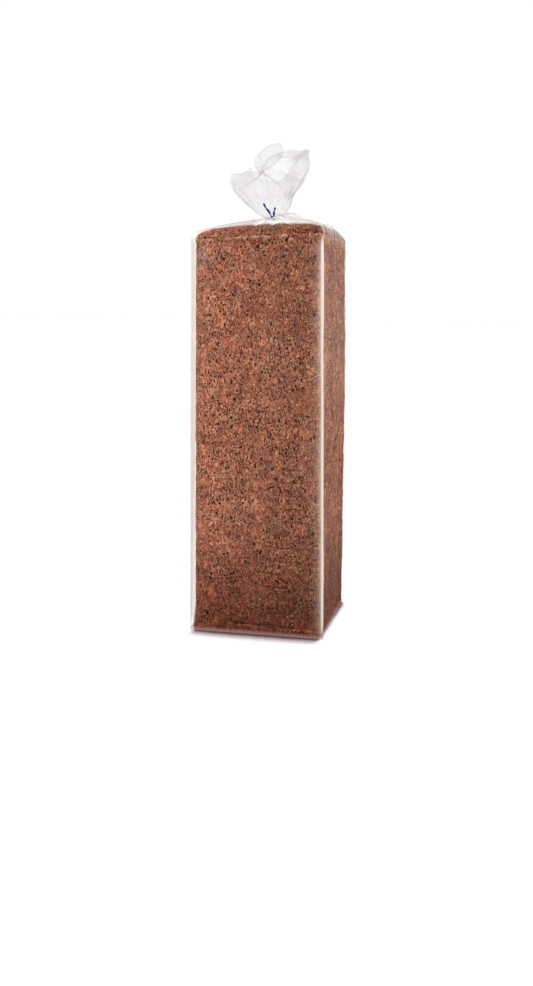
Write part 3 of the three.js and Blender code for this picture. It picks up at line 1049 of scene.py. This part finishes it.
def film_body(material):
    """The film from under the foot up to the tie."""
    section = FilmSection()
    bend = shoulder_rows(section.xy, FILM_SHOULDER, gap=0, bends=FILM_BENDS, place=film_place)
    rows = film_foot(section)
    rows += film_sides(section, bend[0][:, 2])
    rows += film_shoulder(section, bend)
    edge = rows[-1][0]
    direction = np.arctan2(edge[:, 1], edge[:, 0])
    rows += film_top(edge, direction)
    rows += film_neck(direction)
    columns = len(edge)
    points = np.concatenate([row for row, _ in rows])
    haze = np.concatenate([np.broadcast_to(haze, columns) for _, haze in rows])
    relief, creased = film_surface(points)
    moved = points + surface_normals(points, len(rows), columns) * relief[:, None]
    # Painted glow of the bread's light in the milk, fading out over the top.
    warm = 1 - 0.8 * rise(points[:, 2], 338, 352)
    looks = film_looks(haze + creased, warm=warm, foot_glow=1 - rise(points[:, 2], 3, 5))
    faces = ring_faces(len(rows), columns)
    piece = make_piece("film_body", moved, faces, material, "film", looks)
    piece.visible_shadow = False


def ellipse_over(outline):
    """An ellipse that follows a closed outline place by place, and reaches as far as it does."""
    waves = np.fft.fft(outline[:, 0] + 1j * outline[:, 1])
    order = np.abs(np.fft.fftfreq(len(outline), 1 / len(outline)))
    smooth = np.fft.ifft(np.where(order <= 1, waves, 0))
    ellipse = np.column_stack([smooth.real, smooth.imag])
    share = (ellipse - ellipse.min(axis=0)) / np.ptp(ellipse, axis=0)
    return outline.min(axis=0) + share * np.ptp(outline, axis=0)


def flare_spread(s, right):
    """How far the flare has spread from the neck to the mouth, at a share of the way up."""
    at_once = (1 - math.exp(-s / 0.03)) * (1 - s) ** 2
    belly = 0.1 * (1 - right) * bell(s - 0.74, 0.2) + 0.08 * right * bell(s - 0.7, 0.2)
    return (0.2 + 0.14 * right) * at_once + math.sin(math.pi / 2 * s) + belly


def flare_rows(mouth):
    """Rows from the neck to the mouth in the flare's directions, each with how grey it is."""
    share = np.arange(FLARE_COLUMNS) / FLARE_COLUMNS
    direction = 2 * math.pi * share - math.pi + 0.1
    right = 0.5 + 0.5 * np.cos(direction)
    neck = NECK_R * np.column_stack([np.cos(direction), np.sin(direction)])
    neck_z = NECK_Z + NECK_HALF
    plain = ellipse_over(mouth[:, :2])
    along = np.roll(mouth, -1, axis=0) - np.roll(mouth, 1, axis=0)
    along[:, 2] = 0
    along = direction_of(along)
    across = np.column_stack([along[:, 1], -along[:, 0]]) * (np.abs(along[:, :1]) ** 1.5)
    wander = 0.4 * np.sin(2 * math.pi * 3 * share) + 0.3 * np.sin(2 * math.pi * 7 * share + 1)
    pleat = np.abs((FLARE_PLEATS * share + wander) % 1 - 0.5) * 4 - 1
    gather = np.abs((NECK_PLEATS * share + wander) % 1 - 0.5) * 4 - 1
    ridges = bell(1 - np.abs(pleat), 0.15)
    rows = []
    for i in range(FLARE_LEVELS + 1):
        s = i / FLARE_LEVELS
        wide = plain + (mouth[:, :2] - plain) * rise(s, 0.5, 1)
        uv = neck + (wide - neck) * flare_spread(s, right)[:, None]
        creased = rise(s, 0.05, 0.3) * (1 - rise(s, 0.5, 1))
        deep = 2.4 * creased * pleat + 0.9 * bell(s - 0.15, 0.15) * gather
        uv += across * deep[:, None]
        z = neck_z + (mouth[:, 2] - neck_z) * s
        sides = rise(np.abs(uv[:, 0]), 8, 22)
        lip = 0.5 * rise(s, 0.965, 0.99)
        high = rise(z, 408, 420)
        grey = 0.27 + 0.22 * sides + 0.35 * high + 0.22 * ridges * creased + lip
        rows.append((np.column_stack([uv, z]), grey))
    return rows


def film_flare(material):
    """The gathered end: a tube that spreads from the neck to the folded mouth, crumpled."""
    rows = flare_rows(closed_curve(MOUTH, FLARE_COLUMNS))
    points = turned(np.concatenate([row for row, _ in rows]))
    grey = np.concatenate([grey for _, grey in rows])
    jogs = crumple(points, seed=12, waves=6, shortest=12, longest=30, slope=0.07)[0]
    wrinkles = crumple(points, seed=9, waves=7, shortest=14, longest=44, slope=0.22)
    facets, creases, shading_leans = wrinkles
    loose = rise(points[:, 2], NECK_Z + 4, NECK_Z + 22)
    points += turned(np.column_stack([jogs * loose, facets * loose, 0 * loose]))
    # Facets turn greyer by the way they lean: painted shading.
    grey += (0.6 * creases + 0.5 * shading_leans @ (0.6, -0.3, 0.7)) * loose
    looks = film_looks(0.1 + 0.12 * creases * loose, layers=np.clip(grey, 0, 1.5))
    faces = ring_faces(len(rows), FLARE_COLUMNS)
    make_piece("film_flare", points, faces, material, "film", looks)


def film_cuff(material):
    """The folded-over corner at the right tip, a flap between its free edge and its fold."""
    count = 40
    strips = 7
    free = open_curve(CUFF, count)
    fold = np.linspace(CUFF[0], CUFF[-1], count)
    rows = [free + (fold - free) * t for t in np.linspace(0, 1, strips + 1)]
    points = turned(np.concatenate(rows))
    low = np.arange(strips * count).reshape(strips, count)[:, :-1].reshape(-1, 1)
    faces = low + np.array([0, 1, count + 1, count])
    looks = film_looks(np.full(len(points), 0.15), layers=1)
    make_piece("film_cuff", points, faces, material, "film", looks)


# ---- the twist tie


def neck_band():
    """The path of the band wound once round the neck, and the way its width lies."""
    turn = np.linspace(0, 2.3 * math.pi, 60)
    x, y = TIE_BAND_R * np.cos(turn), TIE_BAND_R * np.sin(turn)
    path = np.column_stack([x, y, NECK_Z - 0.6 + 0.25 * np.cos(turn / 2)])
    return path, np.tile((0, 0, 1), (len(path), 1))


def spun(path, start, turns):
    """Unit vectors across a path that spin round it, from a start in degrees."""
    along = direction_of(np.gradient(path, axis=0))
    side = direction_of(np.cross(along, (0, 1, 0)))
    other = np.cross(along, side)
    angle = math.radians(start) + 2 * math.pi * turns * np.linspace(0, 1, len(path))[:, None]
    return np.cos(angle) * side + np.sin(angle) * other


def strip(path, widthwise):
    """A flat strip along a path, and its closed faces."""
    along = np.gradient(path, axis=0)
    thick = direction_of(np.cross(along, widthwise)) * TIE_THICK / 2
    wide = widthwise * TIE_WIDTH / 2
    corners = [path + wide + thick, path - wide + thick, path - wide - thick, path + wide - thick]
    last = 4 * (len(path) - 1)
    ends = [[3, 2, 1, 0], [last, last + 1, last + 2, last + 3]]
    points = np.stack(corners, axis=1).reshape(-1, 3)
    return points, np.vstack([ring_faces(len(path), 4), ends])


def twist_tie():
    """The band, and the tie's ends twisted and spread in a V. The short loose end carries a painted
    pale highlight.
    """
    strips = [(*neck_band(), 0)]
    ends = ((TIE_LEFT, 20, 1.6, 0), (TIE_RIGHT, 70, 1.3, 0), (TIE_LOOSE, 80, 0.2, 1))
    for knots, start, turns, end_highlight in ends:
        path = open_curve(knots, 40)
        strips.append((path, spun(path, start, turns), end_highlight))
    points, faces, end_highlights = [], [], []
    for path, widthwise, end_highlight in strips:
        places, shape = strip(path, widthwise)
        faces.extend(shape + sum(map(len, points)))
        points.append(turned(places))
        end_highlights.append(np.full(len(places), end_highlight))
    looks = {"end_highlight": np.concatenate(end_highlights)}
    material = tie_material()
    make_piece("tie_strip", np.concatenate(points), faces, material, "tie", looks, "twist_tie")


# ---- stage, in metres

LIGHTS_AIM = (0.0, 0.0, 0.2)
FLOOR_SUNS = 5  # each leans a little more, so that the shadow in front of the foot fades out
SUNS_POWER = 50.0
SKY = ((0.0, 0.35), (0.46, 0.2), (0.54, 0.15), (0.7, 0.5), (1.0, 0.4))  # from below to overhead


def stage_floor():
    """A plain floor, seen only by the camera."""
    bpy.ops.mesh.primitive_plane_add(size=60, location=(0, 0, -0.0002))
    floor = bpy.context.object
    floor.name = "floor"
    nodes = Nodes(bpy.data.materials.new("pale_floor"))
    shader = nodes.node("ShaderNodeBsdfDiffuse", {"Color": FLOOR})
    floor.data.materials.append(nodes.finish(shader))
    floor.visible_diffuse = False
    floor.visible_glossy = False
    floor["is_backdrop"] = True
    return floor


def studio_world():
    """White to look at; as a light, brighter overhead and dim round the horizon."""
    world = bpy.data.worlds.new("studio")
    bpy.context.scene.world = world
    nodes = Nodes(world)
    seen = nodes.node("ShaderNodeBackground", {"Color": WHITE, "Strength": 1.02})
    way = nodes.node("ShaderNodeTexCoord").outputs["Generated"]
    up = nodes.node("ShaderNodeSeparateXYZ", {0: way}).outputs["Z"]
    height = nodes.math("MULTIPLY_ADD", up, 0.5, 0.5)
    lit = nodes.node("ShaderNodeBackground", {"Color": nodes.ramp(height, *SKY)})
    by_eye = nodes.node("ShaderNodeLightPath").outputs["Is Camera Ray"]
    nodes.finish(nodes.blend(by_eye, lit, seen), "ShaderNodeOutputWorld")


def softbox(name, azimuth, distance, height, size, power, in_mirrors=True):
    """A soft rectangular light. Azimuth is in degrees from the front, towards the right."""
    data = bpy.data.lights.new(name, "AREA")
    data.shape = "RECTANGLE"
    data.size, data.size_y = size
    data.energy = power
    lamp = add_object(name, data)
    a = math.radians(azimuth)
    lamp.location = (distance * math.sin(a), -distance * math.cos(a), height)
    aim = Vector(LIGHTS_AIM) - lamp.location
    lamp.rotation_euler = aim.to_track_quat("-Z", "Y").to_euler()
    lamp.visible_camera = False
    lamp.visible_glossy = in_mirrors


def floor_suns(floor):
    """Suns that light only the floor, so that it is white but for the loaf's close shadow."""
    only_floor = bpy.data.collections.new("lit_from_overhead")
    only_floor.objects.link(floor)
    for i in range(FLOOR_SUNS):
        name = f"overhead_{i + 1}"
        sun = bpy.data.lights.new(name, "SUN")
        sun.energy = SUNS_POWER / FLOOR_SUNS
        sun.color = SUN
        sun.angle = math.radians(0.5 + 0.4 * i)
        lamp = add_object(name, sun)
        lean = math.radians(0.8 + 0.6 * i)
        lamp.rotation_euler = (-lean, 0.06 * lean, 0)
        lamp.light_linking.receiver_collection = only_floor


def studio_camera():
    """The photograph's view."""
    data = bpy.data.cameras.new("camera")
    data.sensor_width = 36
    data.lens = 36.68
    data.shift_y = -0.184
    data.clip_start = 0.01
    eye = add_object("camera", data)
    eye.location = (0.20809, -0.88967, 0.27543)
    eye.rotation_euler = (math.radians(90), 0, VIEW_TURN)
    bpy.context.scene.camera = eye


def stage():
    """Camera, floor and lights."""
    studio_camera()
    studio_world()
    floor = stage_floor()
    softbox("left_box", -68, 0.8, height=0.55, size=(0.9, 1.3), power=11)
    softbox("right_box", 80, 1.1, height=0.5, size=(0.8, 1.2), power=17, in_mirrors=False)
    softbox("front_box", -8, 1.0, height=1.35, size=(1.2, 0.6), power=7)
    floor_suns(floor)
    bpy.context.scene.view_settings.view_transform = "Standard"
    bpy.context.scene.cycles.transparent_max_bounces = 32


stage()
clear_film = film_material()
film_body(clear_film)
film_flare(clear_film)
film_cuff(clear_film)
bread()
twist_tie()

new_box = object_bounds()
boxes = {"cad": cad_box, "visual": new_box}
{key: [list(map(float, corner)) for corner in box] for key, box in boxes.items()}
